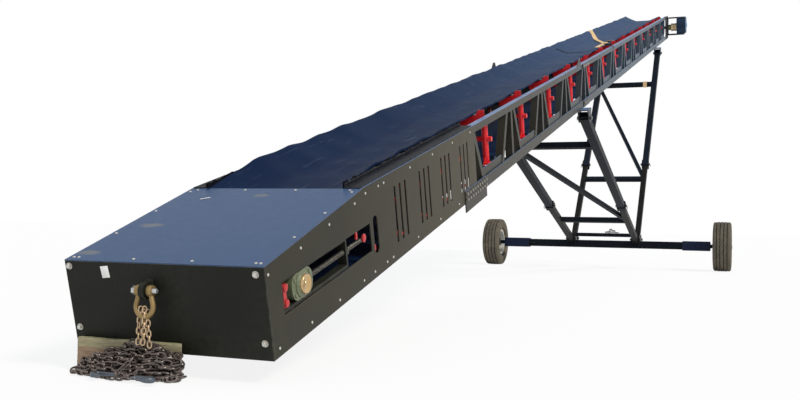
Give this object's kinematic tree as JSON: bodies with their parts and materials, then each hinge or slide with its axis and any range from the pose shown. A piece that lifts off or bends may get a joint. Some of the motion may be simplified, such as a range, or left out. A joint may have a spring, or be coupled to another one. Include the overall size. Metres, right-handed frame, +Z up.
{
  "type": "portable radial stacker",
  "caption": "Portable radial stacker: a troughed belt on an inclined truss with a closed tail box, idler stands, telescoping legs and a wheeled axle.",
  "frame": {"origin": "on the floor, below the middle of the machine's length and on its centre line", "axes": "+Z up; +X from the tail towards the raised head; +Y to the machine's left, along the axle"},
  "size_m": [18.298, 3.989, 5.4551],
  "materials": {
    "dark_paint": "dark satin paint, slightly dusty",
    "red_paint": "bright red paint",
    "belt_rubber": "smooth dark rubber",
    "tyre_rubber": "ribbed tread, dusty",
    "white_rim": "white paint",
    "roll_steel": "worn steel",
    "olive_cast": "painted casting",
    "tan_paint": "tan paint",
    "blue_steel": "dark blue paint",
    "chain_steel": "rusty and plated links",
    "timber": "rough sawn",
    "strap_web": "woven strap",
    "hub_steel": "cast"
  },
  "bodies": {
    "frame": {"axle_beam": "dark_paint", "axle_leg_lugs": "dark_paint", "axle_sleeves": "blue_steel", "axle_tie": "dark_paint", "belt": "belt_rubber", "belt_skirts": "belt_rubber", "belt_strap": "strap_web", "chain_heap": "chain_steel", "chord_splices": "dark_paint", "drive_coupling": "tan_paint", "drive_frame": "tan_paint", "front_leg_crossbars": "dark_paint", "front_leg_ram_left": "dark_paint", "front_leg_ram_right": "dark_paint", "front_leg_sleeve_left": "dark_paint", "front_leg_sleeve_right": "dark_paint", "gear_motor": "blue_steel", "grab_hooks": "chain_steel", "hanging_chain": "chain_steel", "head_bearings": "dark_paint", "head_plate_left": "dark_paint", "head_plate_right": "dark_paint", "head_pulley": "dark_paint", "idler_stands": "red_paint", "leg_braces": "dark_paint", "leg_brackets": "dark_paint", "loading_idler_frames": "red_paint", "rear_leg_crossbars": "dark_paint", "rear_leg_ram_left": "dark_paint", "rear_leg_ram_right": "dark_paint", "rear_leg_sleeve_left": "dark_paint", "rear_leg_sleeve_right": "dark_paint", "return_rolls": "roll_steel", "side_truss_left": "dark_paint", "side_truss_right": "dark_paint", "skirt_angles": "dark_paint", "tail_cover": "dark_paint", "tail_end_plate": "dark_paint", "tail_floor": "dark_paint", "tail_pulley": "dark_paint", "tail_shackle": "chain_steel", "tail_side_panel_left": "dark_paint", "tail_side_panel_right": "dark_paint", "tail_timber": "timber", "take_up_bearings": "olive_cast", "take_up_frames": "olive_cast", "take_up_screws": "roll_steel", "tow_lug": "dark_paint", "trough_rolls": "roll_steel", "truss_crossbars": "dark_paint"},
    "wheel_right": {"tyre_right": "tyre_rubber", "rim_right": "white_rim", "hub_right": "hub_steel"},
    "wheel_left": {"tyre_left": "tyre_rubber", "rim_left": "white_rim", "hub_left": "hub_steel"}
  },
  "joints": [
    {"name": "wheel_right_spin", "type": "hinge", "parent": "frame", "child": "wheel_right", "pos_m": [3.11931, -1.8475, 0.392], "axis": [0, 1, 0], "continuous": true},
    {"name": "wheel_left_spin", "type": "hinge", "parent": "frame", "child": "wheel_left", "pos_m": [3.11931, 1.8475, 0.392], "axis": [0, 1, 0], "continuous": true}
  ]
}
